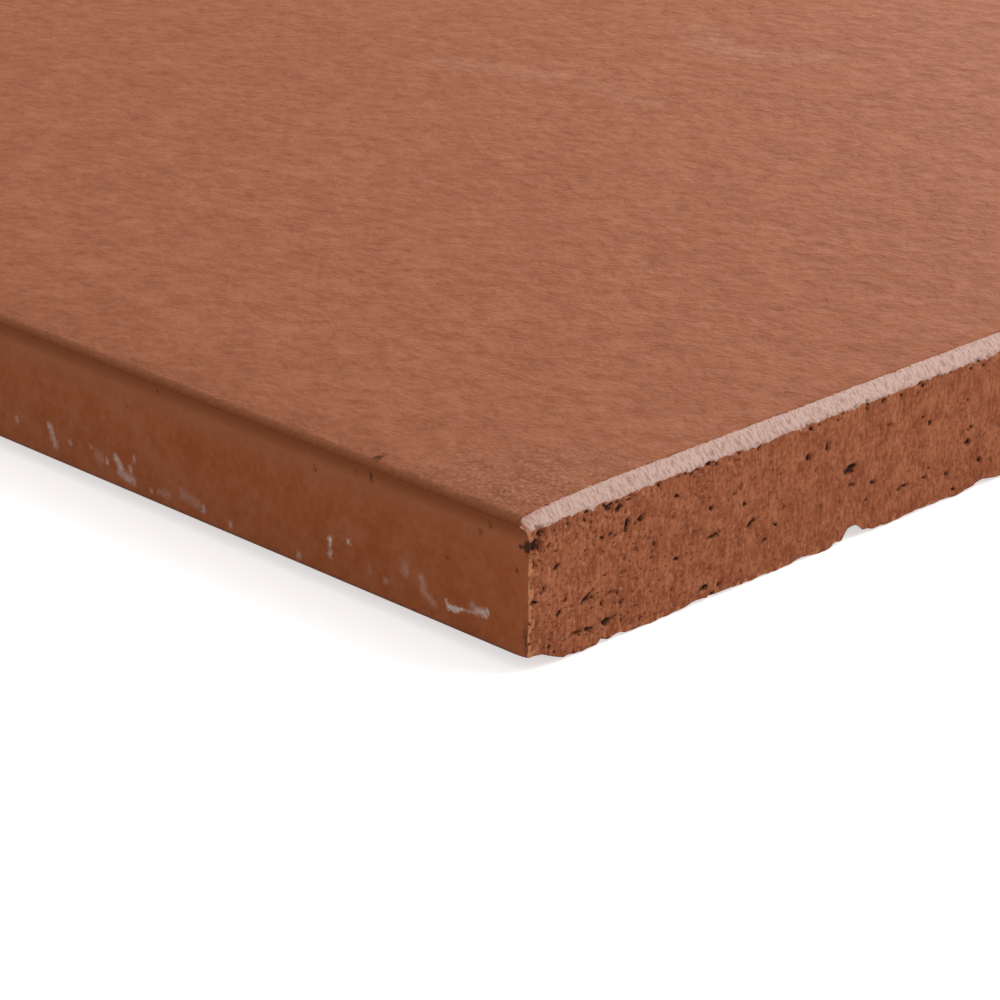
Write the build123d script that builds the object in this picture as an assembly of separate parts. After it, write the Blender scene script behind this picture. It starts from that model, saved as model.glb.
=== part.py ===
# Quarry tile: one slab of extruded, fired clay, lying on its grooved back.
# X runs across the extruded column and Y along it, so the smooth sides left by the die
# face -X and +X, and the rough ends left by the cutting wire face -Y and +Y.
# +Z is the wear face. The origin is under the middle of the tile, on the plane it rests on.
import os

from build123d import *

# Overall size, in millimetres
tile_width = 150.0
tile_length = 150.0
tile_thickness = 12.7

# Rounded lip along the top of each extruded side, with a cove under it
lip_radius = 0.8
lip_overhang = 0.3
lip_height = 2.0
side_foot_radius = 0.4

# Bevel along the top of each cut end
cut_end_bevel = 1.2

# Keying of the back: a raised margin under each side, and a row of grooves
key_depth = 1.1
margin_width = 1.6
margin_slope_run = 2.4
groove_count = 3
groove_pitch = 38.3
groove_floor_width = 1.4
groove_slope_run = 1.8

# How far a cutting shape passes the face that it cuts
cutter_overrun = 1.0

half_width = tile_width / 2
half_length = tile_length / 2
wall_x = half_width - lip_overhang


def side_profile():
    # The right-hand side from the wear face down to its foot, as one open line
    lip_crest = (half_width, tile_thickness - lip_radius)
    cove_middle = ((half_width + wall_x) / 2, tile_thickness - (lip_radius + lip_height) / 2)
    cove_end = (wall_x, tile_thickness - lip_height)
    foot = (wall_x, key_depth + side_foot_radius)
    foot_end = (wall_x - side_foot_radius, key_depth)
    rounding = TangentArc([(half_width - lip_radius, tile_thickness), lip_crest], tangent=(1, 0))
    undercut = TangentArc([lip_crest, cove_middle], tangent=(0, -1))
    cove = TangentArc([cove_end, cove_middle], tangent=(0, 1))
    wall = Line(cove_end, foot)
    foot_arc = TangentArc([foot, foot_end], tangent=(0, -1))
    return [rounding, undercut, cove, wall, foot_arc]


def blank_section():
    # The section without its keying: both sides, the wear face and a plain back
    right = side_profile()
    left = [edge.mirror(Plane.YZ) for edge in right]
    top_x = half_width - lip_radius
    foot_x = wall_x - side_foot_radius
    wear_face = Line((-top_x, tile_thickness), (top_x, tile_thickness))
    back = Polyline((foot_x, key_depth), (foot_x, 0), (-foot_x, 0), (-foot_x, key_depth))
    return make_face([wear_face, back] + right + left)


def groove_section(centre_x):
    # A groove of the back, wider at its mouth than at its floor
    floor_half = groove_floor_width / 2
    overrun_run = groove_slope_run * cutter_overrun / key_depth
    mouth_half = floor_half + groove_slope_run + overrun_run
    outline = Polyline(
        (centre_x - floor_half, key_depth),
        (centre_x + floor_half, key_depth),
        (centre_x + mouth_half, -cutter_overrun),
        (centre_x - mouth_half, -cutter_overrun),
        close=True,
    )
    return make_face(outline)


def margin_section(side):
    # The raised margin under one side: flat out to the foot, then sloping down to the back
    outer_x = half_width + cutter_overrun
    flat_end_x = half_width - margin_width
    overrun_run = margin_slope_run * cutter_overrun / key_depth
    slope_end_x = flat_end_x - margin_slope_run - overrun_run
    outline = Polyline(
        (side * outer_x, key_depth),
        (side * flat_end_x, key_depth),
        (side * slope_end_x, -cutter_overrun),
        (side * outer_x, -cutter_overrun),
        close=True,
    )
    return make_face(outline)


def tile_section():
    section = blank_section()
    first_groove_x = -groove_pitch * (groove_count - 1) / 2
    for number in range(groove_count):
        section -= groove_section(first_groove_x + number * groove_pitch)
    for side in (-1, 1):
        section -= margin_section(side)
    return section


def bevel_cutter(end):
    # A three-sided bar along X that takes the top arris off one cut end at 45 degrees
    reach = cut_end_bevel + cutter_overrun
    outline = Polyline(
        (end * (half_length - cut_end_bevel - cutter_overrun), tile_thickness + cutter_overrun),
        (end * (half_length + cutter_overrun), tile_thickness - cut_end_bevel - cutter_overrun),
        (end * (half_length + reach), tile_thickness + reach),
        close=True,
    )
    triangle = Plane.YZ * make_face(outline)
    return extrude(triangle, amount=half_width + cutter_overrun, both=True)


def quarry_tile():
    column = extrude(Plane.XZ * tile_section(), amount=half_length, both=True)
    for end in (-1, 1):
        column -= bevel_cutter(end)
    return column


os.makedirs("parts", exist_ok=True)
export_step(quarry_tile(), "parts/quarry_tile.step")
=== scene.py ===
import itertools
import math

import bpy
import numpy as np
from mathutils import Matrix, Vector


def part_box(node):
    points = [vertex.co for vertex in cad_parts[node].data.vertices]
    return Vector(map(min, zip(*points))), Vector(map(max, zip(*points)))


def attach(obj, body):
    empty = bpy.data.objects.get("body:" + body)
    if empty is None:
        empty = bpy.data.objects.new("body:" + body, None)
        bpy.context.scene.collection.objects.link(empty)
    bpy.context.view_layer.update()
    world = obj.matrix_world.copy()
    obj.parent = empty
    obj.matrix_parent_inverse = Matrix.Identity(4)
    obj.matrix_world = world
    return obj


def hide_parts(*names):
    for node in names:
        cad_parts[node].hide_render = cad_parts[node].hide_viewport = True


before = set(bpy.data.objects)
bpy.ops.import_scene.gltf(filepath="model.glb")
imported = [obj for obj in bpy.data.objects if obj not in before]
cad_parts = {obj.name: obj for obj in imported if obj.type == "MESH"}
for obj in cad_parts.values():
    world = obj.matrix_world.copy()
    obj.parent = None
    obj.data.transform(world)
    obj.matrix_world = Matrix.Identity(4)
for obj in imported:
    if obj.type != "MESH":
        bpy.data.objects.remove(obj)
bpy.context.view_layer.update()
tileLow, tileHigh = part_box("quarry_tile")
print("frame loaded, tile box", [round(v, 4) for v in (*tileLow, *tileHigh)])

mm = 0.001  # the shapes below are worked out in millimetres and scaled once, at the end
halfWidth = tileHigh.x / mm
halfLength = tileHigh.y / mm
thickness = tileHigh.z / mm

# the section and the bevels, as in the CAD part
tileShape = {
    "lipRadius": 0.8,
    "lipOverhang": 0.3,
    "lipHeight": 2.0,
    "footRadius": 0.4,
    "bevel": 1.2,
    "keyDepth": 1.1,
    "marginWidth": 1.6,
    "marginSlope": 2.4,
    "grooveCount": 3,
    "groovePitch": 38.3,
    "grooveFloor": 1.4,
    "grooveSlope": 1.8,
}

# how closely the rings of points stand, in mm
meshDetail = {
    "lipSteps": 14,
    "footSteps": 4,
    "lipPart": 2.6,
    "footPart": 0.7,
    "fine": {"across": 0.17, "up": 0.19},
    "middle": {"across": 0.5, "up": 0.5},
    "coarse": {"across": 1.1, "up": 1.1},
    "bevelRows": 8,
    "fineRows": [1.4, 1.7, 2.1, 2.6],
    "middleRows": [3.2, 4.0, 5.0],
    "coarseStep": 1.1,
    "triangles": 190000,
}

# how the wear face falls away towards the two sides, in mm
wearFall = {"slope": 0.35, "slopeReach": 10.0, "slopeCurve": 1.3, "edge": 0.35, "edgeReach": 1.3}

# where the wear of the pressed faces fades in and out, in mm below the wear face
wearZones = {"slack": (1.6, 0.6), "fall": (1.3, 0.2), "lipFoot": (2.2, 1.2), "lipCrest": (0.3, 0.0)}

# uneven offsets, in mm or as a share: their mean, and the swing and the lump of slow and fine bumps
uneven = {
    "slack": {"mean": 0.05, "slow": (0.05, 24.0), "fine": (0.012, 2.6), "seed": 31},
    "waver": {"mean": 0.03, "slow": (0.03, (3.5, 2.0)), "fine": (0.02, (1.1, 1.1)), "seed": 34},
    "panel": {"mean": 0.02, "slow": (0.02, (30.0, 4.0)), "seed": 36},
    "chipped": {"mean": 0.03, "slow": (0.03, (0.5, 0.9)), "fine": (0.02, 0.25), "seed": 37},
    "grainy": {"mean": 0.02, "slow": (0.02, (1.2, 3.0)), "seed": 39},
    "edgeRise": {"mean": 0.5, "slow": (0.3, 2.8), "fine": (0.2, 0.8), "seed": 20},
    "arrisWear": {"mean": 0.5, "slow": (0.6, 0.9), "fine": (0.5, 0.35), "seed": 61},
    "pitOutline": {"mean": 0.0, "slow": (1.0, 0.3), "fine": (0.7, 0.15), "seed": 5},
    "burnishEdge": {"mean": 0.16, "slow": (0.16, 0.9), "fine": (0.08, 0.3), "seed": 51},
}

# relief of the two wire-cut ends, in mm
cutRelief = {
    "seed": 11,
    "sway": 0.07,
    "swayLump": (16.0, 9.0),
    "drag": 0.045,
    "dragLump": (0.85, 2.2),
    "fineDrag": 0.025,
    "fineDragLump": (0.34, 0.9),
    "grit": 0.035,
    "gritLump": 0.34,
    "pits": 220,
    "edgePits": 90,
    "pitSize": (0.07, 0.3),
    "pitSkew": 2.2,
    "pitStretch": (0.8, 3.5),
    "pitSlant": 0.2,
    "pitLow": 0.2,
    "pitDepth": 0.4,
    "pitShares": (0.1, 0.8),
    "edgePitSize": (0.08, 0.2),
    "edgePitStretch": 1.6,
    "edgePitDrop": (0.1, 0.7),
    "edgePitShare": 0.8,
    "tornDepth": 0.12,
    "tornLump": (0.5, 0.9),
    "tornReach": (0.1, 0.3, 0.9),
    "tornFoot": (0.1, 1.3, 0.7),
    "raggedRise": 0.3,
    "raggedReach": 2.0,
    "raggedTop": (0.6, 2.0),
    "arrisWear": 0.1,
    "arrisReach": 0.7,
    "arrisApart": 40.0,
    "cornerChip": {"up": 10.1, "half": 0.5, "deep": 0.3},
    "fadeIn": 1.2,
    "pitFade": 0.7,
    "tearFade": 0.3,
    "burnishRim": (0.1, 0.05),
    "bevelSlack": 0.02,
    "bevelChipFade": 0.3,
    "farSeed": 7,
    "farEdgeSeed": 5,
}

# how a pit's depth and its painted shade go from its middle to its edge; the painted shade grows with the
# pit's depth
pitForm = {"reach": 1.4, "outline": 0.4, "rim": (0.35, 1.15), "dark": 0.35, "shadeByDepth": 2.2}

# larger pits of the front end: mm from the left corner, mm up, half length, half height, slant
frontPits = [
    (1.0, 10.0, 0.85, 0.6, 0.05), (1.6, 10.8, 0.42, 0.48, 0.0), (3.2, 7.75, 0.42, 0.22, 0.35),
    (1.9, 6.5, 0.18, 0.2, 0.0), (8.8, 10.9, 0.6, 0.28, 0.0), (9.75, 10.5, 0.34, 0.44, 0.0),
    (10.9, 10.85, 0.35, 0.16, 0.1), (10.6, 8.8, 0.36, 0.68, 0.5), (8.9, 8.6, 0.42, 0.22, 0.2),
    (8.0, 8.65, 0.4, 0.1, 0.1), (12.0, 9.05, 0.36, 0.22, 0.1), (6.2, 10.65, 0.2, 0.22, 0.0),
    (6.4, 4.35, 0.62, 0.26, 0.45), (7.0, 4.7, 0.5, 0.1, 0.2), (8.0, 3.45, 0.18, 0.22, 0.0),
    (8.8, 4.1, 0.22, 0.14, 0.0), (9.6, 3.75, 0.14, 0.3, 0.0), (10.2, 2.9, 0.28, 0.16, 0.3),
    (8.5, 1.75, 0.62, 0.26, 0.2), (9.3, 1.95, 0.5, 0.12, 0.2), (10.1, 1.85, 0.2, 0.16, 0.0),
    (10.1, 1.4, 0.2, 0.24, 0.0), (6.35, 1.75, 1.3, 0.17, -0.08), (5.3, 1.85, 0.35, 0.14, -0.3),
    (12.2, 0.9, 0.22, 0.2, 0.0), (0.9, 8.6, 0.1, 0.5, 0.0), (1.0, 5.6, 0.32, 0.14, -0.4),
    (2.55, 1.6, 0.2, 0.2, 0.3), (3.4, 3.9, 0.3, 0.22, 0.3), (4.1, 4.9, 0.14, 0.3, 0.0),
    (16.0, 9.6, 0.3, 0.3, 0.0), (13.7, 6.5, 0.22, 0.26, 0.0), (13.4, 5.5, 0.16, 0.15, 0.0),
    (15.7, 2.2, 0.2, 0.2, 0.0), (11.6, 6.7, 0.24, 0.12, 0.0), (10.4, 6.3, 0.12, 0.2, 0.0),
    (19.9, 7.5, 0.26, 0.3, 0.0), (23.2, 8.3, 0.2, 0.2, 0.0), (27.8, 8.1, 0.22, 0.2, 0.0),
    (28.2, 5.2, 0.28, 0.22, 0.3), (26.0, 3.1, 0.4, 0.16, 0.2), (20.5, 5.25, 1.1, 0.13, 0.1),
    (21.0, 1.0, 0.2, 0.35, 0.0), (19.3, 1.15, 0.5, 0.2, 0.0), (36.2, 6.2, 0.9, 0.4, 0.0),
    (36.3, 4.8, 0.5, 0.16, 0.0), (39.0, 4.3, 0.28, 0.22, 0.0), (42.5, 2.8, 1.0, 0.14, 0.1),
    (45.5, 2.8, 0.3, 0.2, 0.0), (48.3, 2.3, 0.3, 0.24, 0.0), (50.8, 4.5, 0.4, 0.28, 0.0),
    (52.5, 2.4, 0.4, 0.3, 0.0), (38.1, 3.0, 0.5, 0.14, 0.2), (31.0, 8.6, 0.4, 0.3, 0.0),
    (33.2, 8.9, 0.25, 0.35, 0.0), (24.5, 5.0, 0.5, 0.2, 0.4),
]

# breaks in the front end's lower edge, and burrs that hang from it: mm from the left corner,
# half width, rise
frontBreaks = [
    (8.2, 0.35, 0.5), (9.9, 0.7, 0.25), (18.3, 1.3, 0.2), (21.5, 1.6, 0.2), (30.6, 1.0, 0.15),
    (1.5, 1.5, 0.15), (4.3, 0.8, 0.15), (33.0, 1.5, -0.15), (35.4, 0.5, -0.5), (37.9, 0.6, -0.4),
    (44.0, 1.5, 0.15), (53.0, 1.6, 0.45),
]

# numbers that scramble a grid place into a random value
hashSteps = np.array([73856093, 19349663, 83492791])
hashMix = 1274126177
hashRange = 0xFFFF
seedShift = 17.31

nearlyNothing = 1e-6
stretches = {"top": 0, "right": 1, "back": 2, "left": 3, "cut": 4}  # of a ring, and the cut ends


def smoothNoise(points, lump, seed):
    # random bumps from -1 to 1; lump is their size in mm, one for all axes or one for each
    grid = np.asarray(points, float) / lump + seed * seedShift
    base = np.floor(grid).astype(np.int64)
    part = grid - base
    part = part * part * (3 - 2 * part)
    value = np.zeros(len(grid))
    for corner in itertools.product((0, 1), repeat=grid.shape[1]):
        key = (base + corner) @ hashSteps[:grid.shape[1]]
        key = (key ^ (key >> 13)) * hashMix
        key = (key ^ (key >> 16)) & hashRange
        weight = np.prod(np.where(corner, part, 1 - part), axis=1)
        value += weight * (key / (hashRange / 2) - 1)
    return value


def unevenness(points, settings, seedStep=0):
    value = settings["mean"]
    for step, name in enumerate(("slow", "fine")):
        if name in settings:
            swing, lump = settings[name]
            value = value + swing * smoothNoise(points, lump, settings["seed"] + seedStep + step)
    return value


def smoothStep(value, low, high):
    share = np.clip((value - low) / (high - low), 0, 1)
    return share * share * (3 - 2 * share)


def sideLine():
    # right-hand side of the section, from the wear face down to the foot
    lip, foot = tileShape["lipRadius"], tileShape["footRadius"]
    turn = np.linspace(0, math.pi / 2, 12)
    drop = np.linspace(0, 1, 12)[1:]
    coveTop = thickness - lip
    coveHeight = tileShape["lipHeight"] - lip
    wallX = halfWidth - tileShape["lipOverhang"]
    x = np.concatenate([
        halfWidth - lip + lip * np.sin(turn),
        halfWidth - tileShape["lipOverhang"] * (1 - np.cos(math.pi * drop)) / 2,
        wallX - foot * (1 - np.cos(turn)),
    ])
    z = np.concatenate([
        coveTop + lip * np.cos(turn),
        coveTop - coveHeight * drop,
        tileShape["keyDepth"] + foot * (1 - np.sin(turn)),
    ])
    return x, z


def backLine():
    # corners of the back from the left foot to the right one: margins, lands and grooves
    depth = tileShape["keyDepth"]
    footX = halfWidth - tileShape["lipOverhang"] - tileShape["footRadius"]
    marginX = halfWidth - tileShape["marginWidth"]
    landX = marginX - tileShape["marginSlope"]
    corners = [(-footX, depth), (-marginX, depth), (-landX, 0)]
    for number in range(tileShape["grooveCount"]):
        middle = (number - (tileShape["grooveCount"] - 1) / 2) * tileShape["groovePitch"]
        floorHalf = tileShape["grooveFloor"] / 2
        mouthHalf = floorHalf + tileShape["grooveSlope"]
        corners += [(middle - mouthHalf, 0), (middle - floorHalf, depth)]
        corners += [(middle + floorHalf, depth), (middle + mouthHalf, 0)]
    corners += [(landX, 0), (marginX, depth), (footX, depth)]
    return np.array(corners).T


def backStations(step):
    cornerX = backLine()[0]
    pieces = []
    for left, right in zip(cornerX[:-1], cornerX[1:]):
        count = max(2, round((right - left) / step))
        pieces.append(np.linspace(left, right, count, endpoint=False))
    return np.append(np.concatenate(pieces), cornerX[-1])


def sideShares(step):
    # shares of the side's length, close together at the lip and the foot
    total = np.hypot(*np.diff(sideLine())).sum()
    wallPart = total - meshDetail["lipPart"] - meshDetail["footPart"]
    wallEnd = total - meshDetail["footPart"]
    lip = np.linspace(0, meshDetail["lipPart"], meshDetail["lipSteps"], endpoint=False)
    wall = np.linspace(meshDetail["lipPart"], wallEnd, round(wallPart / step), endpoint=False)
    foot = np.linspace(wallEnd, total, meshDetail["footSteps"] + 1)
    return np.concatenate([lip, wall, foot]) / total


def sideStretch(topHeight, shares):
    x, z = sideLine()
    topX = np.interp(topHeight, z[::-1], x[::-1])
    below = z < topHeight - nearlyNothing
    x, z = np.append(topX, x[below]), np.append(topHeight, z[below])
    along = np.append(0, np.cumsum(np.hypot(np.diff(x), np.diff(z))))
    return np.interp(shares * along[-1], along, x), np.interp(shares * along[-1], along, z)


def ring(inset, detail):
    # four open stretches of the section, a distance in from a cut end: top, right, back, left
    step = meshDetail[detail]
    topHeight = min(thickness, thickness - tileShape["bevel"] + inset)
    x, z = sideStretch(topHeight, sideShares(step["up"]))
    backX = backStations(step["across"])
    backZ = np.interp(backX, *backLine())
    count = len(backX) if detail == "fine" else round(2 * halfWidth / step["across"]) + 1
    topX = np.linspace(-x[0], x[0], count)
    top = np.column_stack([topX, np.full(count, topHeight)])
    back = np.column_stack([backX, backZ])[::-1]
    return [top, np.column_stack([x, z]), back, np.column_stack([-x, z])[::-1]]


def ringRows():
    # insets of the rings from the front end to the middle, with their detail
    bevel = tileShape["bevel"]
    rows = [(inset, "fine") for inset in np.linspace(0, bevel, meshDetail["bevelRows"] + 1)]
    rows += [(inset, "fine") for inset in meshDetail["fineRows"]]
    rows += [(inset, "middle") for inset in meshDetail["middleRows"]]
    start = meshDetail["middleRows"][-1] + meshDetail["coarseStep"]
    count = round((halfLength - start) / meshDetail["coarseStep"])
    rows += [(inset, "coarse") for inset in np.linspace(start, halfLength, count + 1)]
    return rows


def pitField(x, z, pits):
    # depth and painted shade of a list of pits at each point
    order = np.argsort(x)
    sortedX, sortedZ = x[order], z[order]
    depth, dark = np.zeros(len(x)), np.zeros(len(x))
    outline = pitForm["outline"] * unevenness(np.column_stack([sortedX, sortedZ]), uneven["pitOutline"])
    for pitX, pitZ, halfLong, halfHigh, slant, deep in pits:
        reach = pitForm["reach"] * (halfLong + halfHigh)
        near = slice(*np.searchsorted(sortedX, (pitX - reach, pitX + reach)))
        dx = sortedX[near] - pitX
        dz = sortedZ[near] - pitZ - slant * dx
        away = np.sqrt((dx / halfLong) ** 2 + (dz / halfHigh) ** 2) + outline[near]
        inside = 1 - smoothStep(away, *pitForm["rim"])
        pitShading = min(1, pitForm["dark"] + pitForm["shadeByDepth"] * deep)
        depth[near] = np.maximum(depth[near], deep * inside)
        dark[near] = np.maximum(dark[near], inside * pitShading)
    unsorted = np.argsort(order)
    return depth[unsorted], dark[unsorted]


def randomPits(seed):
    draw = np.random.default_rng(seed)
    small, large = cutRelief["pitSize"]
    shallow, deepest = cutRelief["pitShares"]
    slant = cutRelief["pitSlant"]
    pits = []
    for _ in range(cutRelief["pits"]):
        size = small * (large / small) ** (draw.random() ** cutRelief["pitSkew"])
        stretch = draw.uniform(*cutRelief["pitStretch"])
        place = draw.uniform(-halfWidth, halfWidth), draw.uniform(cutRelief["pitLow"], thickness)
        deep = cutRelief["pitDepth"] * min(deepest, size / large + shallow)
        pits.append((*place, size * stretch ** 0.5, size / stretch ** 0.5, draw.normal(0, slant), deep))
    deep = cutRelief["pitDepth"] * cutRelief["edgePitShare"]
    for _ in range(cutRelief["edgePits"]):
        size = draw.uniform(*cutRelief["edgePitSize"])
        across = draw.uniform(-halfWidth, halfWidth)
        up = thickness - tileShape["bevel"] - draw.uniform(*cutRelief["edgePitDrop"])
        pits.append((across, up, cutRelief["edgePitStretch"] * size, size, draw.normal(0, slant), deep))
    return pits


def photoPits():
    deep = cutRelief["pitDepth"]
    return [(x - halfWidth, z, long, high, slant, deep) for x, z, long, high, slant in frontPits]


def cutField(x, z, end):
    # how far the wire-cut face lies behind its plane, and its masks: painted shade in the pits, and the
    # torn clay
    seed = cutRelief["seed"] + (end > 0) * cutRelief["farSeed"]
    flat = np.column_stack([x, z])
    kinds = ("sway", "drag", "fineDrag", "grit")
    relief = sum(cutRelief[kind] for kind in kinds)
    bumps = 0
    for step, kind in enumerate(kinds):
        bumps = bumps + cutRelief[kind] * smoothNoise(flat, cutRelief[kind + "Lump"], seed + step)
    relief = relief + bumps
    pits = randomPits(seed) + (photoPits() if end < 0 else [])
    pitDepth, dark = pitField(x, z, pits)
    toWall = halfWidth - tileShape["lipOverhang"] - np.abs(x)
    ragged = 0.5 + 0.5 * smoothNoise(flat, cutRelief["tornLump"], seed + len(kinds))
    start, reach, raggedReach = cutRelief["tornReach"]
    torn = (1 - smoothStep(toWall, start, reach + raggedReach * ragged)) * (0.5 + 0.5 * ragged)
    start, raggedReach, share = cutRelief["tornFoot"]
    low = (1 - smoothStep(z, start, raggedReach * ragged)) * ragged * share
    tear = np.maximum(torn, low)
    return relief + pitDepth + cutRelief["tornDepth"] * tear, dark, tear


def edgeRise(x, end):
    # how far the lower edge of a cut end is broken away upwards
    line = np.column_stack([x, np.zeros(len(x))])
    seedStep = cutRelief["seed"] + (end > 0) * cutRelief["farEdgeSeed"]
    rise = cutRelief["raggedRise"] * unevenness(line, uneven["edgeRise"], seedStep)
    if end < 0:
        for place, half, high in frontBreaks:
            rise += high * np.exp(-((x + halfWidth - place) / half) ** 2)
    return rise


def arrisWear(z, sign, end):
    # how far the upright arris between a side and a cut end is worn back
    line = np.column_stack([z, cutRelief["arrisApart"] * (sign + 2 * end)])
    worn = cutRelief["arrisWear"] * np.maximum(unevenness(line, uneven["arrisWear"]), 0)
    chip = cutRelief["cornerChip"]
    broken = chip["deep"] * np.exp(-((z - chip["up"]) / chip["half"]) ** 2)
    return worn + np.where((sign < 0) & (end < 0), broken, 0)


def belowTop(z, zone):
    # 0 to 1 from the lower to the upper height of a zone
    return smoothStep(z, thickness - zone[0], thickness - zone[1])


def shapeRings(points, stretch, end, inset):
    # wear and making marks on the rings: slack wear face, wavering lip, ragged lower edge
    x, y, z = points.T.copy()
    onTop, onBack = stretch == stretches["top"], stretch == stretches["back"]
    onSide = (stretch == stretches["right"]) | (stretch == stretches["left"])
    sign = np.sign(x)
    flat = np.column_stack([x, y])
    upper = belowTop(z, wearZones["slack"]) * np.clip(inset / tileShape["bevel"], 0, 1)
    toSide = halfWidth - np.abs(x)
    fall = wearFall["slope"] * np.clip(1 - toSide / wearFall["slopeReach"], 0, 1) ** wearFall["slopeCurve"]
    fall += wearFall["edge"] * np.exp(-toSide / wearFall["edgeReach"])
    fall *= belowTop(z, wearZones["fall"])
    z = z - np.where(onBack, 0, unevenness(flat, uneven["slack"]) * upper + fall)
    along = np.column_stack([y, z])
    lipShare = belowTop(z, wearZones["lipFoot"]) * (1 - belowTop(z, wearZones["lipCrest"]))
    waver = unevenness(along, uneven["panel"]) + unevenness(along, uneven["waver"]) * lipShare
    x = x - np.where(onSide, sign * waver, 0)
    atEnd = np.clip(1 - inset / cutRelief["arrisReach"], 0, 1) ** 2
    x = x - np.where(onSide, sign * arrisWear(z, sign, end) * atEnd, 0)
    onBevel = onTop & (inset < tileShape["bevel"] - nearlyNothing)
    chipped = unevenness(np.column_stack([x, inset]), uneven["chipped"])
    z = z - np.where(onBevel, chipped * np.clip(inset / cutRelief["bevelChipFade"], 0, 1), 0)
    near = np.clip(1 - inset / cutRelief["raggedReach"], 0, 1) ** 2
    lowShare = 1 - smoothStep(z, *cutRelief["raggedTop"])
    rise = np.where(end < 0, edgeRise(x, -1), edgeRise(x, 1))
    z = np.where(onBack | onSide, np.maximum(z + rise * near * lowShare, 0), z)
    z = z + np.where(onBack, unevenness(flat, uneven["grainy"]), 0)
    return np.column_stack([x, y, z])


def joinRows(firstIndex, firstShare, secondIndex, secondShare):
    # triangles between two rows of points that have different counts
    made, a, b = [], 0, 0
    while a < len(firstIndex) - 1 or b < len(secondIndex) - 1:
        nextA = firstShare[a + 1] if a < len(firstIndex) - 1 else 2
        nextB = secondShare[b + 1] if b < len(secondIndex) - 1 else 2
        if nextA <= nextB:
            made.append((firstIndex[a], firstIndex[a + 1], secondIndex[b]))
            a += 1
        else:
            made.append((firstIndex[a], secondIndex[b + 1], secondIndex[b]))
            b += 1
    return np.array(made)


def stretchShare(line):
    along = np.append(0, np.cumsum(np.hypot(*np.diff(line, axis=0).T)))
    return along / along[-1]


pressed, wireCut, keyed = 0, 1, 2  # finishes, in the order of the material list
stretchFinish = [pressed, pressed, keyed, pressed]  # top, right, back, left


def buildTileMesh():
    rows = ringRows()
    rows = [(-1, *row) for row in rows] + [(1, *row) for row in rows[-2::-1]]
    points, stretch, ends, insets, starts = [], [], [], [], []
    for end, inset, detail in rows:
        parts = ring(inset, detail)
        starts.append((sum(map(len, points)), parts))
        for number, part in enumerate(parts):
            kept = part[:-1]
            y = np.full(len(kept), end * (halfLength - inset))
            points.append(np.column_stack([kept[:, 0], y, kept[:, 1]]))
            stretch.append(np.full(len(kept), number))
            ends.append(np.full(len(kept), end))
            insets.append(np.full(len(kept), inset))
    points, stretch = np.concatenate(points), np.concatenate(stretch)
    ends, insets = np.concatenate(ends), np.concatenate(insets)
    points = shapeRings(points, stretch, ends, insets)
    quads, triangles, quadFinish, triangleFinish, loops = [], [], [], [], []
    for start, parts in starts:
        total = sum(len(part) - 1 for part in parts)
        index, at = [], 0
        for part in parts:
            index.append(start + (at + np.arange(len(part))) % total)
            at += len(part) - 1
        loops.append(index)
    for rowA, rowB in zip(range(len(rows) - 1), range(1, len(rows))):
        bevelled = min(rows[rowA][1], rows[rowB][1]) < tileShape["bevel"] - nearlyNothing
        for number in range(len(stretchFinish)):
            first, second = loops[rowA][number], loops[rowB][number]
            finish = wireCut if number == stretches["top"] and bevelled else stretchFinish[number]
            if rows[rowA][2] == rows[rowB][2]:
                quads.append(np.column_stack([first[:-1], first[1:], second[1:], second[:-1]]))
                quadFinish.append(np.full(len(first) - 1, finish))
            else:
                shares = [stretchShare(starts[row][1][number]) for row in (rowA, rowB)]
                made = joinRows(first, shares[0], second, shares[1])
                triangles.append(made)
                triangleFinish.append(np.full(len(made), finish))
    for end, index in ((-1, loops[0]), (1, loops[-1])):
        capPoints, capQuads = fillEnd(points, index, end, len(points))
        points = np.concatenate([points, capPoints])
        quads.append(capQuads)
        quadFinish.append(np.full(len(capQuads), wireCut))
        ends = np.append(ends, np.full(len(capPoints), end))
        insets = np.append(insets, np.zeros(len(capPoints)))
        stretch = np.append(stretch, np.full(len(capPoints), stretches["cut"]))
    points, masks = cutEnds(points, ends, insets, stretch)
    print("tile rings and ends:", len(points), "points")
    faces = (np.concatenate(quads), np.concatenate(triangles))
    finishes = np.concatenate([np.concatenate(quadFinish), np.concatenate(triangleFinish)])
    return points, faces, finishes, masks


def fillEnd(points, index, end, firstNew):
    # a grid of points between the four stretches of the outermost ring
    top, right, back, left = (points[i] for i in index)
    bottom, leftUp, rightUp = back[::-1], left, right[::-1]
    across, up = len(top) - 1, len(right) - 1
    u = np.linspace(0, 1, across + 1)[:, None, None]
    v = (1 - stretchShare(right[:, [0, 2]])[::-1])[None, :, None]
    grid = (1 - v) * bottom[:, None] + v * top[:, None] + (1 - u) * leftUp[None] + u * rightUp[None]
    grid -= (1 - u) * (1 - v) * bottom[0] + u * (1 - v) * bottom[-1]
    grid -= (1 - u) * v * top[0] + u * v * top[-1]
    number = np.full((across + 1, up + 1), -1)
    number[:, 0], number[:, -1] = index[2][::-1], index[0]
    number[0, :], number[-1, :] = index[3], index[1][::-1]
    inner = (across - 1) * (up - 1)
    number[1:-1, 1:-1] = firstNew + np.arange(inner).reshape(across - 1, up - 1)
    a, b = number[:-1, :-1].ravel(), number[1:, :-1].ravel()
    c, d = number[1:, 1:].ravel(), number[:-1, 1:].ravel()
    quads = np.column_stack([a, b, c, d] if end < 0 else [a, d, c, b])
    return grid[1:-1, 1:-1].reshape(-1, 3), quads


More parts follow.
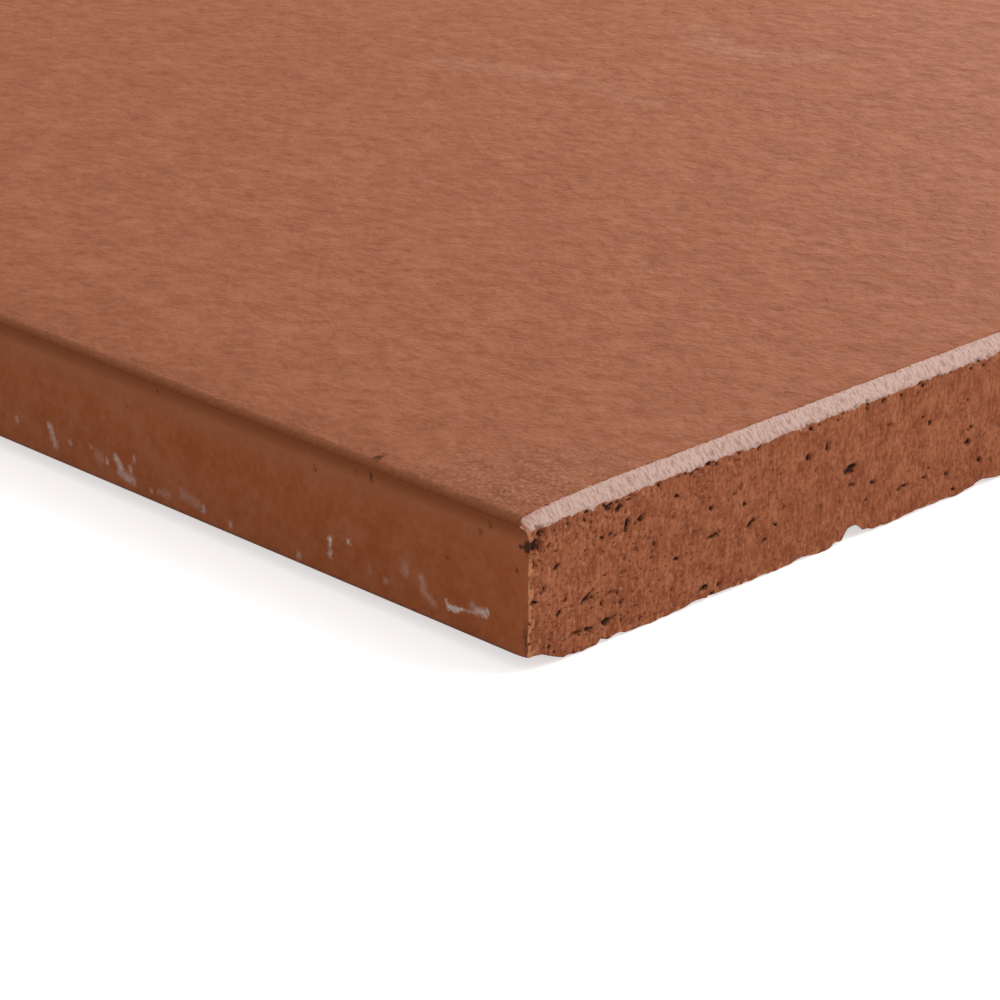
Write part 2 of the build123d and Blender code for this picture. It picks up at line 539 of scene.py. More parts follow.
def cutEnds(points, ends, insets, stretch):
    # sinks the wire-cut relief into both ends and works out the masks that the finishes read: painted shade
    # in the pits, torn clay, and the bevel strip with its painted sheen
    masks = {name: np.zeros(len(points)) for name in ("pitShade", "tear", "burnishAndSheen")}
    fadeIn = cutRelief["fadeIn"]
    bevelFoot = thickness - tileShape["bevel"]
    rimBelow, rimAbove = cutRelief["burnishRim"]
    for end in (-1, 1):
        near = (ends == end) & (insets < fadeIn)
        x, y, z = points[near].T
        depth, dark, tear = cutField(x, z, end)
        fade = np.clip(1 - insets[near] / fadeIn, 0, 1) ** 2
        points[near, 1] -= end * depth * fade
        masks["pitShade"][near] = dark * np.clip(1 - insets[near] / cutRelief["pitFade"], 0, 1)
        masks["tear"][near] = tear * np.clip(1 - insets[near] / cutRelief["tearFade"], 0, 1)
        onBevel = (stretch[near] == stretches["top"]) | (z > bevelFoot - cutRelief["bevelSlack"])
        line = bevelFoot - unevenness(np.column_stack([x, np.zeros(len(x))]), uneven["burnishEdge"])
        masks["burnishAndSheen"][near] = np.where(onBevel, 1, smoothStep(z, line - rimBelow, line + rimAbove))
    return points, masks


def addObject(name, data):
    made = bpy.data.objects.new(name, data)
    bpy.context.scene.collection.objects.link(made)
    return made


def makeTile(finishes):
    points, (quads, triangles), finishIndex, masks = buildTileMesh()
    mesh = bpy.data.meshes.new("quarryTileClay")
    mesh.vertices.add(len(points))
    mesh.vertices.foreach_set("co", (points * mm).astype(np.float32).ravel())
    corners = np.concatenate([quads.ravel(), triangles.ravel()])
    mesh.loops.add(len(corners))
    mesh.loops.foreach_set("vertex_index", corners.astype(np.int32))
    mesh.polygons.add(len(quads) + len(triangles))
    quadStarts = 4 * np.arange(len(quads))
    starts = np.concatenate([quadStarts, 4 * len(quads) + 3 * np.arange(len(triangles))])
    mesh.polygons.foreach_set("loop_start", starts.astype(np.int32))
    mesh.polygons.foreach_set("material_index", finishIndex.astype(np.int32))
    mesh.update(calc_edges=True)
    for name, values in masks.items():
        layer = mesh.attributes.new(name, "FLOAT", "POINT")
        layer.data.foreach_set("value", values.astype(np.float32))
    for finish in finishes:
        mesh.materials.append(finish)
    tile = addObject("quarryTileBody", mesh)
    full = 2 * len(quads) + len(triangles)
    thin = tile.modifiers.new("thin", "DECIMATE")
    thin.ratio = min(1, meshDetail["triangles"] / full)
    depsgraph = bpy.context.evaluated_depsgraph_get()
    thinned = bpy.data.meshes.new_from_object(tile.evaluated_get(depsgraph), depsgraph=depsgraph)
    tile.modifiers.clear()
    tile.data = thinned
    thinned.name = "quarryTileThinned"
    bpy.data.meshes.remove(mesh)
    thinned.shade_smooth()
    even = tile.modifiers.new("evenShading", "WEIGHTED_NORMAL")
    even.weight = 80
    print("tile mesh:", full, "triangles thinned to", sum(len(p.vertices) - 2 for p in thinned.polygons))
    return tile


# shader helpers

def addNode(tree, kind, inputs=None, **settings):
    made = tree.nodes.new(kind)
    for name, value in settings.items():
        setattr(made, name, value)
    plug(tree, made, inputs or {})
    return made


def plug(tree, node, inputs):
    for name, value in inputs.items():
        if isinstance(value, bpy.types.NodeSocket):
            tree.links.new(value, node.inputs[name])
        else:
            node.inputs[name].default_value = value


def blend(tree, share, first, second):
    made = addNode(tree, "ShaderNodeMix", {0: share, 6: first, 7: second}, data_type="RGBA")
    return made.outputs[2]


def calc(tree, operation, first, second=0.0):
    return addNode(tree, "ShaderNodeMath", {0: first, 1: second}, operation=operation).outputs[0]


def times(tree, first, second):
    return calc(tree, "MULTIPLY", first, second)


def vectorMath(tree, operation, first, second):
    return addNode(tree, "ShaderNodeVectorMath", {0: first, 1: second}, operation=operation).outputs


def remap(tree, value, low, high, toLow=0.0, toHigh=1.0):
    ends = {"Value": value, "From Min": low, "From Max": high, "To Min": toLow, "To Max": toHigh}
    return addNode(tree, "ShaderNodeMapRange", ends).outputs["Result"]


def noise(tree, point, lump, detail=1.0, rough=0.5):
    # lump is the size of the bumps in mm
    scale = 1 / lump if isinstance(lump, float) else calc(tree, "DIVIDE", 1.0, lump)
    settings = {"Vector": point, "Scale": scale, "Detail": detail, "Roughness": rough}
    return addNode(tree, "ShaderNodeTexNoise", settings).outputs["Fac"]


def stretched(tree, point, stretch):
    return vectorMath(tree, "MULTIPLY", point, stretch)[0]


def shaderGroup(name, inputs, outputs):
    tree = bpy.data.node_groups.new(name, "ShaderNodeTree")
    for socketName, kind, value in inputs:
        socket = tree.interface.new_socket(socketName, in_out="INPUT", socket_type="NodeSocket" + kind)
        if value is not None:
            socket.default_value = value
    for socketName, kind in outputs:
        tree.interface.new_socket(socketName, in_out="OUTPUT", socket_type="NodeSocket" + kind)
    return tree, tree.nodes.new("NodeGroupInput").outputs, tree.nodes.new("NodeGroupOutput").inputs


def placeGroup(tree, group, inputs):
    made = tree.nodes.new("ShaderNodeGroup")
    made.node_tree = group
    plug(tree, made, inputs)
    return made.outputs


def clayToneGroup():
    # slow patches of a paler and a deeper clay, with a fine fleck of both
    inputs = [("Point", "Vector", None), ("Body", "Color", None), ("Pale", "Color", None),
              ("Deep", "Color", None), ("Patch", "Float", 9.0), ("Patches", "Float", 0.5),
              ("Fleck", "Float", 0.4), ("Flecks", "Float", 0.3)]
    tree, given, out = shaderGroup("clayTone", inputs, [("Colour", "Color")])
    patch = noise(tree, given["Point"], given["Patch"], 2.0, 0.55)
    fleck = noise(tree, given["Point"], given["Fleck"], 1.0, 0.6)
    palePatch = times(tree, remap(tree, patch, 0.48, 0.72), given["Patches"])
    deepPatch = times(tree, remap(tree, patch, 0.52, 0.28), given["Patches"])
    colour = blend(tree, palePatch, given["Body"], given["Pale"])
    colour = blend(tree, deepPatch, colour, given["Deep"])
    dark = times(tree, remap(tree, fleck, 0.48, 0.3), given["Flecks"])
    light = times(tree, remap(tree, fleck, 0.54, 0.72), given["Flecks"])
    colour = blend(tree, dark, colour, given["Deep"])
    colour = blend(tree, light, colour, given["Pale"])
    tree.links.new(colour, out["Colour"])
    return tree


def sandGrainGroup():
    # the fine pimpled skin of fired clay, and a mask of the small hollows in it that carries painted shade
    inputs = [("Point", "Vector", None), ("Size", "Float", 0.4), ("Detail", "Float", 2.0)]
    tree, given, out = shaderGroup("sandGrain", inputs, [("Height", "Float"), ("HollowShade", "Float")])
    height = noise(tree, given["Point"], given["Size"], given["Detail"], 0.65)
    tree.links.new(height, out["Height"])
    tree.links.new(remap(tree, height, 0.44, 0.3), out["HollowShade"])
    return tree


def strokeGroup():
    # how near a point lies to a rub between two points: 0 on its line, 1 at its edge
    inputs = [("Point", "Vector", None), ("Start", "Vector", None), ("End", "Vector", None),
              ("Width", "Float", 1.0)]
    tree, given, out = shaderGroup("rubStroke", inputs, [("Distance", "Float")])
    span = vectorMath(tree, "SUBTRACT", given["End"], given["Start"])[0]
    away = vectorMath(tree, "SUBTRACT", given["Point"], given["Start"])[0]
    along = vectorMath(tree, "DOT_PRODUCT", away, span)["Value"]
    whole = vectorMath(tree, "DOT_PRODUCT", span, span)["Value"]
    share = calc(tree, "MINIMUM", calc(tree, "MAXIMUM", calc(tree, "DIVIDE", along, whole), 0.0), 1.0)
    nearest = addNode(tree, "ShaderNodeVectorMath", {0: span, "Scale": share}, operation="SCALE").outputs[0]
    gap = vectorMath(tree, "DISTANCE", away, nearest)["Value"]
    tree.links.new(calc(tree, "DIVIDE", gap, given["Width"]), out["Distance"])
    return tree


groups = {"tone": clayToneGroup(), "grain": sandGrainGroup(), "stroke": strokeGroup()}
print("shader groups made:", ", ".join(group.name for group in groups.values()))


def newFinish(name):
    finish = bpy.data.materials.new(name)
    finish.use_nodes = True
    tree = finish.node_tree
    coords = tree.nodes.new("ShaderNodeTexCoord").outputs["Object"]
    return finish, tree, tree.nodes["Principled BSDF"], stretched(tree, coords, (1 / mm, 1 / mm, 1 / mm))


def setSurface(tree, shader, colour, roughness, specular):
    plug(tree, shader, {"Base Color": colour, "Roughness": roughness, "Specular IOR Level": specular})


def attribute(tree, name):
    return addNode(tree, "ShaderNodeAttribute", attribute_name=name).outputs["Fac"]


def addBump(tree, shader, height, depth):
    made = addNode(tree, "ShaderNodeBump", {"Height": height, "Distance": depth * mm, "Strength": 1.0})
    tree.links.new(made.outputs[0], shader.inputs["Normal"])


def swung(tree, value, spread):
    # a noise as an offset from -spread to spread
    return remap(tree, value, 0.3, 0.7, -spread, spread)


def sumOf(tree, *terms):
    # adds values, each with its own weight
    total = None
    for value, weight in terms:
        value = times(tree, value, weight)
        total = value if total is None else calc(tree, "ADD", total, value)
    return total


def markRamp(tree, along, up, marks, soften):
    # a colour ramp over the marks' stretch of the side: red is a mark's height, green its half height,
    # blue its strength
    first, last = marks[0][0] - 2 * soften, max(mark[1] for mark in marks) + 2 * soften
    ramp = addNode(tree, "ShaderNodeValToRGB", {"Fac": remap(tree, along, first, last)})
    stops = ramp.color_ramp.elements
    for stop in stops:
        stop.color = (0, 0.01, 0, 1)
    for start, end, startUp, endUp, half, strength in marks:
        places = [(start - soften, startUp, 0), (start, startUp, strength)]
        places += [(end, endUp, strength), (end + soften, endUp, 0)]
        for place, height, strong in places:
            stops.new((place - first) / (last - first)).color = (height / 10, half / 10, strong, 1)
    channels = addNode(tree, "ShaderNodeSeparateColor", {0: ramp.outputs["Color"]}).outputs
    gap = calc(tree, "ABSOLUTE", calc(tree, "SUBTRACT", times(tree, up, 0.1), channels[0]))
    inside = remap(tree, calc(tree, "DIVIDE", gap, channels[1]), 1.6, 0.3)
    return times(tree, inside, channels[2])


def markSets(marks, soften):
    # marks that lie clear of each other share a ramp, up to seven, because a ramp holds 32 stops
    sets = []
    for mark in sorted(marks):
        clear = [s for s in sets if len(s) < 7 and s[-1][1] + 2.5 * soften < mark[0] < s[0][0] + 25]
        if clear:
            clear[0].append(mark)
        else:
            sets.append([mark])
    return sets


def strongest(tree, masks):
    total = masks[0]
    for mask in masks[1:]:
        total = calc(tree, "MAXIMUM", total, mask)
    return total


def sideMarks(tree, along, up, marks, soften):
    return strongest(tree, [markRamp(tree, along, up, s, soften) for s in markSets(marks, soften)])


def strokeMarks(tree, point, strokes, edges):
    # strokes are two end points, half width and strength; edges are where the fading starts and ends
    masks = []
    for start, end, width, strength in strokes:
        values = {"Point": point, "Start": (*start, 0), "End": (*end, 0), "Width": width}
        distance = placeGroup(tree, groups["stroke"], values)["Distance"]
        masks.append(remap(tree, distance, edges[1], edges[0], 0.0, strength))
    return strongest(tree, masks)


pressedClayLook = {
    "wear": {
        "Body": (0.33, 0.112, 0.054, 1), "Pale": (0.42, 0.16, 0.085, 1), "Deep": (0.25, 0.076, 0.033, 1),
        "Patch": 3.5, "Patches": 0.3, "Fleck": 1.1, "Flecks": 0.27,
    },
    "side": {
        "Body": (0.325, 0.09, 0.03, 1), "Pale": (0.36, 0.118, 0.05, 1), "Deep": (0.275, 0.066, 0.017, 1),
        "Patch": 3.0, "Patches": 0.6, "Fleck": 0.7, "Flecks": 0.45,
    },
    # painted shade in the grain's hollows
    "hollowShade": (0.19, 0.058, 0.024, 1),
    "rim": (0.43, 0.16, 0.083, 1),
    # painted shade under the lip
    "underLipShade": (0.21, 0.052, 0.013, 1),
    # painted sheen in a band below the lip
    "lipSheen": (0.325, 0.105, 0.044, 1),
    "chalk": (0.74, 0.64, 0.58, 1),
    "rub": (0.5, 0.28, 0.19, 1),
    # painted shade of small pits and of the broken corner on the side, partly dark marks
    "tick": (0.06, 0.02, 0.009, 1),
    # painted shade along the foot
    "foot": (0.09, 0.028, 0.011, 1),
    "grainSize": 1.1,
    "grainDetail": 2.0,
    "grainDepth": 0.2,
    "swell": {"size": 2.6, "share": 1.3},
    "abrasion": {
        "reach": (18.0, 4.0), "size": 0.32, "pale": (0.54, 0.7, 0, 0.4), "dark": (0.46, 0.32, 0, 0.8),
    },
    "roughness": (0.65, 0.5),
    "specular": 0.05,
    "fray": {"lip": 0.06, "along": 0.15, "up": 0.1},
    # mm up or mm in from the side where each starts and is full, and its shares there
    "zones": {
        "side": (thickness - 0.45, thickness - 1.1),
        "rim": (1.5, 0.4, 0, 0.6),
        # painted sheen in a band below the lip
        "lipSheen": (thickness - 5.0, thickness - 2.6, 0, 0.6),
        # painted shade under the lip
        "underLipShade": (thickness - 2.5, thickness - 1.5),
        # painted shade along the foot
        "foot": (tileShape["keyDepth"] + 0.45, tileShape["keyDepth"] + 0.1, 0, 0.8),
    },
    # how the grain breaks up the rubs, and the powder the chalk
    "broken": {"rub": (0.35, 0.6, 0.3, 1.2), "chalk": (0.36, 0.6, 0.45, 1.0)},
    "edges": {"rub": (0.0, 1.3), "smear": (0.3, 1.7), "scuff": 0.2, "tick": 0.1, "break": (0.8, 1.1)},
}

# pale rubs on the wear face: mm from the front left corner at both ends, half width, strength
wearRubs = [
    ((107.5, 83.0), (104.5, 78.5), 2.2, 0.1), ((104.5, 78.5), (102.0, 74.5), 2.4, 0.2),
    ((102.0, 74.5), (103.4, 70.0), 2.6, 0.24), ((103.4, 70.0), (107.0, 64.5), 2.4, 0.2),
    ((78.5, 91.0), (83.5, 79.0), 3.0, 0.13), ((83.6, 75.0), (82.5, 66.0), 2.4, 0.09),
]

# chalky smears of the side: mm from the corner and mm up at both ends, half width, strength
sideSmears = [
    ((8.8, 3.3), (8.6, 2.95), 0.12, 0.6), ((8.5, 2.85), (7.7, 2.9), 0.2, 1.0),
    ((7.8, 2.95), (7.0, 3.1), 0.13, 0.9), ((7.0, 3.08), (5.9, 3.22), 0.09, 0.5),
    ((5.9, 3.7), (5.6, 3.4), 0.3, 0.25), ((5.5, 3.45), (4.6, 3.6), 0.28, 0.55),
    ((5.15, 3.5), (4.9, 3.56), 0.15, 0.9), ((4.5, 3.95), (4.2, 3.5), 0.09, 0.9),
    ((4.25, 3.45), (4.6, 3.35), 0.08, 0.6), ((11.4, 4.3), (11.2, 3.4), 0.28, 0.2),
    ((11.1, 3.2), (10.1, 2.6), 0.3, 0.2), ((13.15, 4.7), (13.15, 4.2), 0.35, 0.16),
    ((55.75, 4.1), (55.1, 2.7), 0.3, 0.4), ((47.2, 3.7), (46.6, 3.0), 0.3, 0.6),
    ((46.7, 2.6), (45.1, 2.3), 0.35, 0.4),
]

# chalky scuffs of the side: mm from the corner at both ends, mm up at both, half height, strength
sideScuffs = [
    (15.2, 15.5, 2.8, 2.8, 0.25, 0.25), (17.0, 17.2, 3.3, 3.3, 0.4, 0.12),
    (19.3, 19.5, 4.8, 4.8, 0.2, 0.55), (21.4, 21.6, 4.2, 4.2, 0.35, 1.0),
    (21.4, 21.7, 3.2, 3.2, 0.35, 0.5), (25.0, 25.3, 1.9, 1.9, 0.3, 0.3),
    (33.0, 33.3, 2.1, 2.1, 0.25, 0.35), (36.3, 36.6, 2.4, 2.4, 0.35, 0.5),
    (36.9, 39.2, 2.6, 3.0, 0.5, 0.15), (40.5, 42.0, 2.4, 2.3, 0.3, 0.15),
    (42.7, 43.0, 2.1, 2.1, 0.2, 0.3), (45.3, 45.5, 3.2, 3.2, 0.3, 0.4),
    (44.8, 45.0, 4.3, 4.3, 0.3, 0.3), (48.3, 48.5, 3.1, 3.1, 0.3, 0.45),
    (48.9, 49.8, 3.0, 3.2, 0.6, 0.15), (50.3, 50.5, 3.8, 3.8, 0.2, 0.2),
    (53.0, 53.2, 3.4, 3.4, 0.25, 0.25), (60.1, 60.3, 3.5, 3.5, 0.25, 0.4),
]

# dark marks of the side, partly dark marks and partly painted shade of small pits and of the broken corner:
# the broken corner as two strokes, and ticks listed as the scuffs are
cornerBreak = [((-0.3, 10.1), (0.2, 10.1), 0.5, 1.0), ((0.3, 10.05), (1.0, 9.95), 0.18, 0.9)]
sideTicks = [
    (0.1, 0.6, 2.7, 2.7, 1.2, 0.6), (1.3, 1.4, 8.0, 8.0, 0.25, 0.8),
    (4.0, 4.2, 10.8, 10.8, 0.25, 0.6), (5.0, 5.3, 9.9, 9.9, 0.25, 0.5),
    (8.5, 8.7, 6.8, 6.8, 0.12, 0.5), (16.4, 17.0, 12.2, 12.2, 0.1, 0.8),
    (16.8, 16.9, 10.9, 10.9, 0.4, 1.0), (18.5, 18.7, 10.8, 10.8, 0.15, 0.4),
    (23.1, 23.2, 9.7, 9.7, 0.25, 0.9), (41.5, 41.7, 10.9, 10.9, 0.15, 0.7),
    (45.4, 45.5, 8.6, 8.6, 0.2, 0.8),
]


def abrade(tree, point, colour, look):
    # the corner that is handled most has scratched, brighter grain
    abrasion = look["abrasion"]
    corner = Vector((-halfWidth, -halfLength, thickness))
    near = remap(tree, vectorMath(tree, "DISTANCE", point, corner)["Value"], *abrasion["reach"])
    fine = noise(tree, point, abrasion["size"], 1.0)
    pale = times(tree, near, remap(tree, fine, *abrasion["pale"]))
    dark = times(tree, near, remap(tree, fine, *abrasion["dark"]))
    return blend(tree, dark, blend(tree, pale, colour, look["rub"]), look["hollowShade"])


def pressedClayFinish():
    # the grainy wear face and the smooth sides left by the die, which meet below the lip
    look = pressedClayLook
    zones, edges, fray = look["zones"], look["edges"], look["fray"]
    finish, tree, shader, point = newFinish("pressedClay")
    x, y, up = addNode(tree, "ShaderNodeSeparateXYZ", {0: point}).outputs
    grainSettings = {"Point": point, "Size": look["grainSize"], "Detail": look["grainDetail"]}
    grain = placeGroup(tree, groups["grain"], grainSettings)
    warp = noise(tree, point, 0.45, 1.0)
    frayed = calc(tree, "ADD", up, swung(tree, warp, fray["lip"]))
    side = remap(tree, frayed, *zones["side"])
    onTop = calc(tree, "SUBTRACT", 1.0, side)

    wearColour = placeGroup(tree, groups["tone"], {**look["wear"], "Point": point})["Colour"]
    # painted shade in the grain's hollows
    wearColour = blend(tree, times(tree, grain["HollowShade"], 0.2), wearColour, look["hollowShade"])
    wearColour = abrade(tree, point, wearColour, look)
    toSide = calc(tree, "SUBTRACT", halfWidth, calc(tree, "ABSOLUTE", x))
    wearColour = blend(tree, remap(tree, toSide, *zones["rim"]), wearColour, look["rim"])
    corner = (halfWidth, halfLength, -thickness)
    fromCorner = vectorMath(tree, "ADD", point, corner)[0]
    rubs = strokeMarks(tree, fromCorner, wearRubs, edges["rub"])
    rubs = times(tree, rubs, remap(tree, grain["Height"], *look["broken"]["rub"]))
    wearColour = blend(tree, rubs, wearColour, look["rub"])

    sideColour = placeGroup(tree, groups["tone"], {**look["side"], "Point": point})["Colour"]
    # a painted sheen band below the lip, painted shade under the lip, and painted shade along the foot
    for height, name in ((up, "lipSheen"), (frayed, "underLipShade"), (frayed, "foot")):
        sideColour = blend(tree, remap(tree, height, *zones[name]), sideColour, look[name])
    powder = noise(tree, point, 0.28, 2.0, 0.7)
    facing = calc(tree, "SIGN", x)  # the right-hand side has the same marks, from its own far corner
    along = calc(tree, "SUBTRACT", halfLength, times(tree, facing, y))
    along = calc(tree, "ADD", along, swung(tree, warp, fray["along"]))
    markUp = calc(tree, "ADD", up, swung(tree, powder, fray["up"]))
    markPoint = addNode(tree, "ShaderNodeCombineXYZ", {0: along, 1: markUp}).outputs[0]
    smears = strokeMarks(tree, markPoint, sideSmears, edges["smear"])
    chalk = calc(tree, "MAXIMUM", smears, sideMarks(tree, along, markUp, sideScuffs, edges["scuff"]))
    chalk = times(tree, chalk, remap(tree, powder, *look["broken"]["chalk"]))
    sideColour = blend(tree, chalk, sideColour, look["chalk"])
    colour = blend(tree, side, wearColour, sideColour)
    # ticks and the broken corner, partly dark marks and partly painted shade, with the painted shade of the
    # cut ends' pits
    ticks = sideMarks(tree, along, markUp, sideTicks, edges["tick"])
    ticks = calc(tree, "MAXIMUM", ticks, strokeMarks(tree, markPoint, cornerBreak, edges["break"]))
    colour = blend(tree, calc(tree, "MAXIMUM", ticks, attribute(tree, "pitShade")), colour, look["tick"])

    lines = noise(tree, stretched(tree, point, (1.0, 0.03, 1.0)), 0.3)
    swell = noise(tree, point, look["swell"]["size"], 1.0)
    pimpled = sumOf(tree, (grain["Height"], 1.0), (swell, look["swell"]["share"]))
    height = sumOf(tree, (times(tree, pimpled, onTop), 1.0), (lines, 0.05))
    addBump(tree, shader, height, look["grainDepth"])
    roughness = remap(tree, side, 0, 1, *look["roughness"])
    setSurface(tree, shader, colour, roughness, look["specular"])
    return finish


wireCutLook = {
    "clay": {
        "Body": (0.335, 0.098, 0.039, 1), "Pale": (0.44, 0.155, 0.072, 1), "Deep": (0.21, 0.052, 0.019, 1),
        "Patch": 1.4, "Patches": 0.7, "Fleck": 0.4, "Flecks": 0.6,
    },
    # colour of the painted shade in the pits
    "pitShade": (0.045, 0.014, 0.006, 1),
    "speck": (0.09, 0.02, 0.007, 1),
    "torn": (0.58, 0.24, 0.11, 1),
    "crumb": (0.52, 0.23, 0.12, 1),
    # the bevel strip: partly paler burnished clay, partly painted sheen
    "burnishedAndSheen": (0.58, 0.385, 0.325, 1),
    "worn": (0.36, 0.165, 0.11, 1),
    "roughness": (0.8, 0.5),
    "specular": 0.15,
    "depth": 0.08,
    "coarse": (30 - halfWidth, 5 - halfWidth, 0.45, 1.0),
    # a painted highlight down the arris at each end of the lip
    "arrisLine": {"width": 0.1, "lean": 0.25, "low": 2.2, "bare": (0.6, 0.35)},
}


def lipEnd(tree, x, up):
    # where the bevel meets the lip: a thin painted highlight down the arris, and bare clay beside it
    line = wireCutLook["arrisLine"]
    crest = thickness - tileShape["lipRadius"]
    inward = calc(tree, "SUBTRACT", halfWidth, calc(tree, "ABSOLUTE", x))
    lean = times(tree, calc(tree, "SUBTRACT", up, crest), line["lean"])
    low = thickness - line["low"]
    glintAndRub = remap(tree, calc(tree, "ADD", inward, lean), 1.3 * line["width"], 0.7 * line["width"])
    glintAndRub = times(tree, glintAndRub, remap(tree, up, low - 0.2, low + 0.2))
    underCrest = remap(tree, up, crest + 0.1, crest - 0.1)
    return glintAndRub, calc(tree, "MINIMUM", remap(tree, inward, *line["bare"]), underCrest)


def wireCutFinish():
    # clay torn by the cutting wire, with the burnished bevel above it, painted paler: partly its own paler
    # clay and partly a painted sheen
    look = wireCutLook
    finish, tree, shader, point = newFinish("wireCut")
    x, _, up = addNode(tree, "ShaderNodeSeparateXYZ", {0: point}).outputs
    gritPoint = stretched(tree, point, (1.0, 1.0, 0.6))
    grit = placeGroup(tree, groups["grain"], {"Point": gritPoint, "Size": 0.2})
    colour = placeGroup(tree, groups["tone"], {**look["clay"], "Point": point})["Colour"]
    streak = noise(tree, stretched(tree, point, (1.0, 1.0, 0.3)), 0.25, 1.0)
    colour = blend(tree, remap(tree, streak, 0.5, 0.3, 0, 0.6), colour, look["clay"]["Deep"])
    colour = blend(tree, remap(tree, streak, 0.52, 0.72, 0, 0.4), colour, look["clay"]["Pale"])
    coarse = remap(tree, x, *look["coarse"])
    crumb = noise(tree, stretched(tree, point, (0.8, 1.0, 1.0)), 0.32, 1.0)
    crumbShare = times(tree, remap(tree, crumb, 0.6, 0.74, 0, 0.6), coarse)
    colour = blend(tree, crumbShare, colour, look["crumb"])
    speckShare = times(tree, remap(tree, crumb, 0.38, 0.29), coarse)
    colour = blend(tree, speckShare, colour, look["speck"])
    tear = calc(tree, "ADD", attribute(tree, "tear"), swung(tree, crumb, 0.35))
    colour = blend(tree, remap(tree, tear, 0.3, 0.75, 0, 0.9), colour, look["torn"])
    # painted shade in the pits, with ragged edges
    jagged = calc(tree, "ADD", attribute(tree, "pitShade"), swung(tree, grit["Height"], -0.35))
    colour = blend(tree, remap(tree, jagged, 0.25, 0.65), colour, look["pitShade"])

    brushed = noise(tree, stretched(tree, point, (1.0, 0.35, 0.35)), 0.24, 2.0, 0.6)
    blotch = noise(tree, point, 0.9, 1.0)
    glintAndRub = blend(tree, remap(tree, brushed, 0.52, 0.3, 0, 0.9), look["burnishedAndSheen"], look["worn"])
    glintAndRub = blend(tree, remap(tree, blotch, 0.6, 0.74, 0, 0.6), glintAndRub, look["worn"])
    # the bevel strip, partly paler burnished clay and partly painted sheen
    ragged = calc(tree, "ADD", attribute(tree, "burnishAndSheen"), swung(tree, brushed, -0.3))
    # a painted highlight down the arris, added to the bevel strip
    line, bare = lipEnd(tree, x, up)
    burnishAndSheen = times(tree, remap(tree, ragged, 0.42, 0.58), calc(tree, "SUBTRACT", 1.0, bare))
    burnishAndSheen = calc(tree, "MAXIMUM", burnishAndSheen, line)
    height = sumOf(tree, (grit["Height"], 1.0), (streak, 0.5))
    addBump(tree, shader, height, look["depth"])
    roughness = remap(tree, burnishAndSheen, 0, 1, *look["roughness"])
    setSurface(tree, shader, blend(tree, burnishAndSheen, colour, glintAndRub), roughness, look["specular"])
    return finish


keyedBackLook = {
    "clay": {
        "Body": (0.31, 0.092, 0.036, 1), "Pale": (0.38, 0.135, 0.065, 1), "Deep": (0.235, 0.062, 0.022, 1),
        "Patch": 4.0, "Patches": 0.6, "Fleck": 0.5, "Flecks": 0.5,
    },
    # painted shade in the grain's hollows
    "hollowShade": (0.09, 0.026, 0.012, 1),
    "roughness": 0.8,
    "specular": 0.25,
    "depth": 0.12,
}


def keyedBackFinish():
    look = keyedBackLook
    finish, tree, shader, point = newFinish("keyedBack")
    drawn = stretched(tree, point, (1.0, 0.2, 1.0))
    colour = placeGroup(tree, groups["tone"], {**look["clay"], "Point": drawn})["Colour"]
    grainPoint = stretched(tree, point, (1.0, 0.6, 1.0))
    grain = placeGroup(tree, groups["grain"], {"Point": grainPoint, "Size": 0.6})
    # painted shade in the grain's hollows
    colour = blend(tree, times(tree, grain["HollowShade"], 0.8), colour, look["hollowShade"])
    lines = noise(tree, drawn, 0.4, 1.0)
    addBump(tree, shader, sumOf(tree, (grain["Height"], 1.0), (lines, 0.6)), look["depth"])
    setSurface(tree, shader, colour, look["roughness"], look["specular"])
    return finish


finishes = [pressedClayFinish(), wireCutFinish(), keyedBackFinish()]
print("finishes made:", ", ".join(finish.name for finish in finishes))

tile = makeTile(finishes)
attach(tile, "root")
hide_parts("quarry_tile")


# floor, light and camera

studio = {
    "floorSize": 6.0,
    "floorColour": (0.86, 0.86, 0.86, 1),
    "floorRoughness": 0.9,
    "floorLift": 0.6,
    "skyLight": 0.55,
    "key": {"direction": (0.58, -0.42, 0.7), "distance": 0.7, "size": 0.65, "power": 3.3},
    "sheen": {"direction": (0.93, 0.2, 0.3), "distance": 0.5, "size": 0.4, "power": 1.5},
}

view = {
    "place": (-251.2, -250.4, 116.0),
    "azimuth": -44.68,
    "elevation": 22.31,
    "roll": 0.16,
    "lens": 135.5,
    "sensor": 36.0,
}


def directRays(tree):
    # 1 where the camera sees a surface, straight or in a reflection
    seen = tree.nodes.new("ShaderNodeLightPath").outputs
    direct = calc(tree, "MAXIMUM", seen["Is Camera Ray"], seen["Is Glossy Ray"])
    return calc(tree, "MAXIMUM", direct, seen["Is Transmission Ray"])


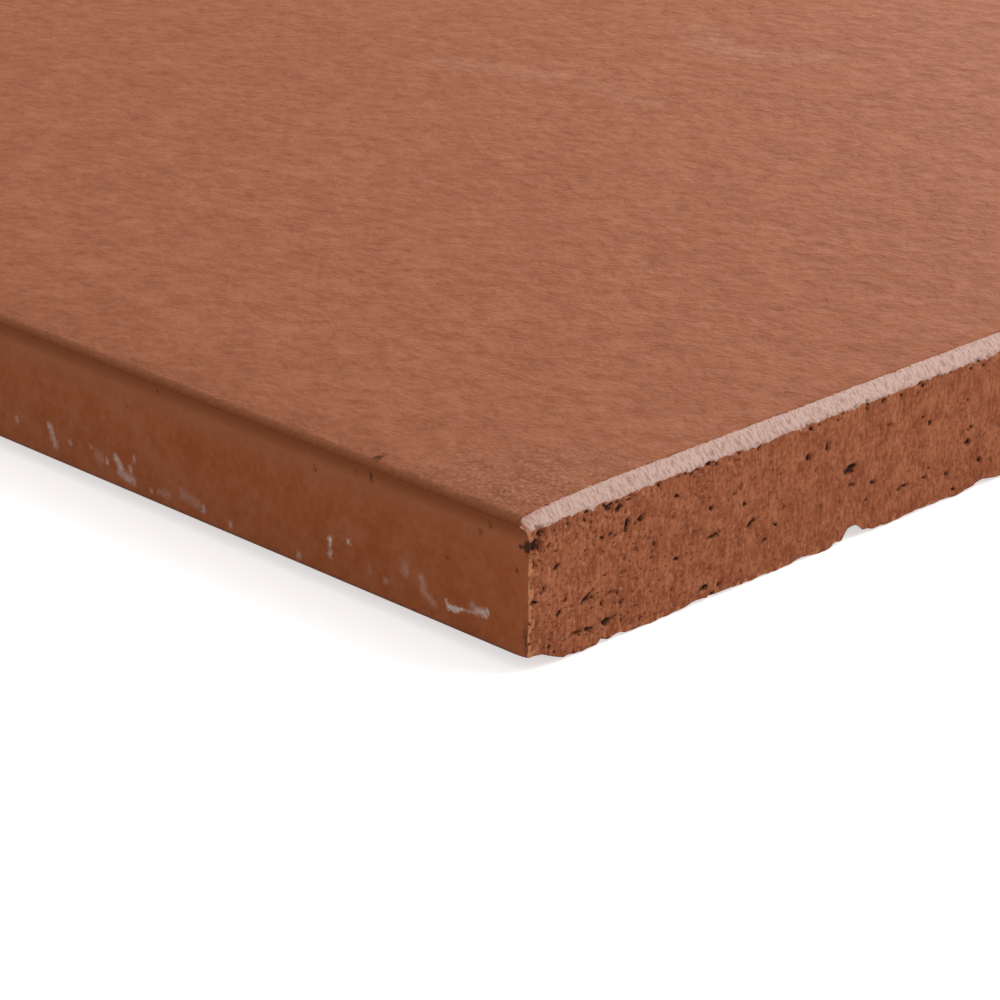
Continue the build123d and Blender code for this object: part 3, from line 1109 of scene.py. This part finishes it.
def makeFloor():
    half = studio["floorSize"] / 2
    mesh = bpy.data.meshes.new("floor")
    corners = [(-half, -half, 0), (half, -half, 0), (half, half, 0), (-half, half, 0)]
    mesh.from_pydata(corners, [], [(0, 1, 2, 3)])
    floor = addObject("floor", mesh)
    paint = bpy.data.materials.new("palePaper")
    paint.use_nodes = True
    tree = paint.node_tree
    shader, output = tree.nodes["Principled BSDF"], tree.nodes["Material Output"]
    setSurface(tree, shader, studio["floorColour"], studio["floorRoughness"], 0.0)
    strength = times(tree, directRays(tree), studio["floorLift"])
    lift = addNode(tree, "ShaderNodeEmission", {"Strength": strength})
    both = addNode(tree, "ShaderNodeAddShader", {0: shader.outputs[0], 1: lift.outputs[0]})
    tree.links.new(both.outputs[0], output.inputs["Surface"])
    mesh.materials.append(paint)


def makeSky():
    world = bpy.data.worlds.new("paleRoom")
    bpy.context.scene.world = world
    world.use_nodes = True
    tree = world.node_tree
    light, output = tree.nodes["Background"], tree.nodes["World Output"]
    light.inputs["Color"].default_value = (1, 1, 1, 1)
    strength = remap(tree, directRays(tree), 0, 1, studio["skyLight"], 1.0)
    tree.links.new(strength, light.inputs["Strength"])


def makeLamp(name):
    settings = studio[name]
    light = bpy.data.lights.new(name, "AREA")
    light.size, light.energy = settings["size"], settings["power"]
    lamp = addObject(name, light)
    direction = Vector(settings["direction"]).normalized()
    lamp.location = direction * settings["distance"]
    lamp.rotation_euler = direction.to_track_quat("Z", "Y").to_euler()


def makeCamera():
    lens = bpy.data.cameras.new("camera")
    lens.lens, lens.sensor_width = view["lens"], view["sensor"]
    lens.clip_start, lens.clip_end = 0.01, 20
    camera = addObject("camera", lens)
    a, e, roll = (math.radians(view[name]) for name in ("azimuth", "elevation", "roll"))
    back = Vector((math.sin(a) * math.cos(e), -math.cos(a) * math.cos(e), math.sin(e)))
    level = Vector((math.cos(a), math.sin(a), 0))
    upright = back.cross(level)
    right = level * math.cos(roll) + upright * math.sin(roll)
    up = upright * math.cos(roll) - level * math.sin(roll)
    turn = Matrix((right, up, back)).transposed().to_4x4()
    camera.matrix_world = Matrix.Translation(Vector(view["place"]) * mm) @ turn
    bpy.context.scene.camera = camera


makeFloor()
makeSky()
makeLamp("key")
makeLamp("sheen")
makeCamera()
bpy.context.scene.view_settings.view_transform = "Standard"
print("floor, light and camera placed")
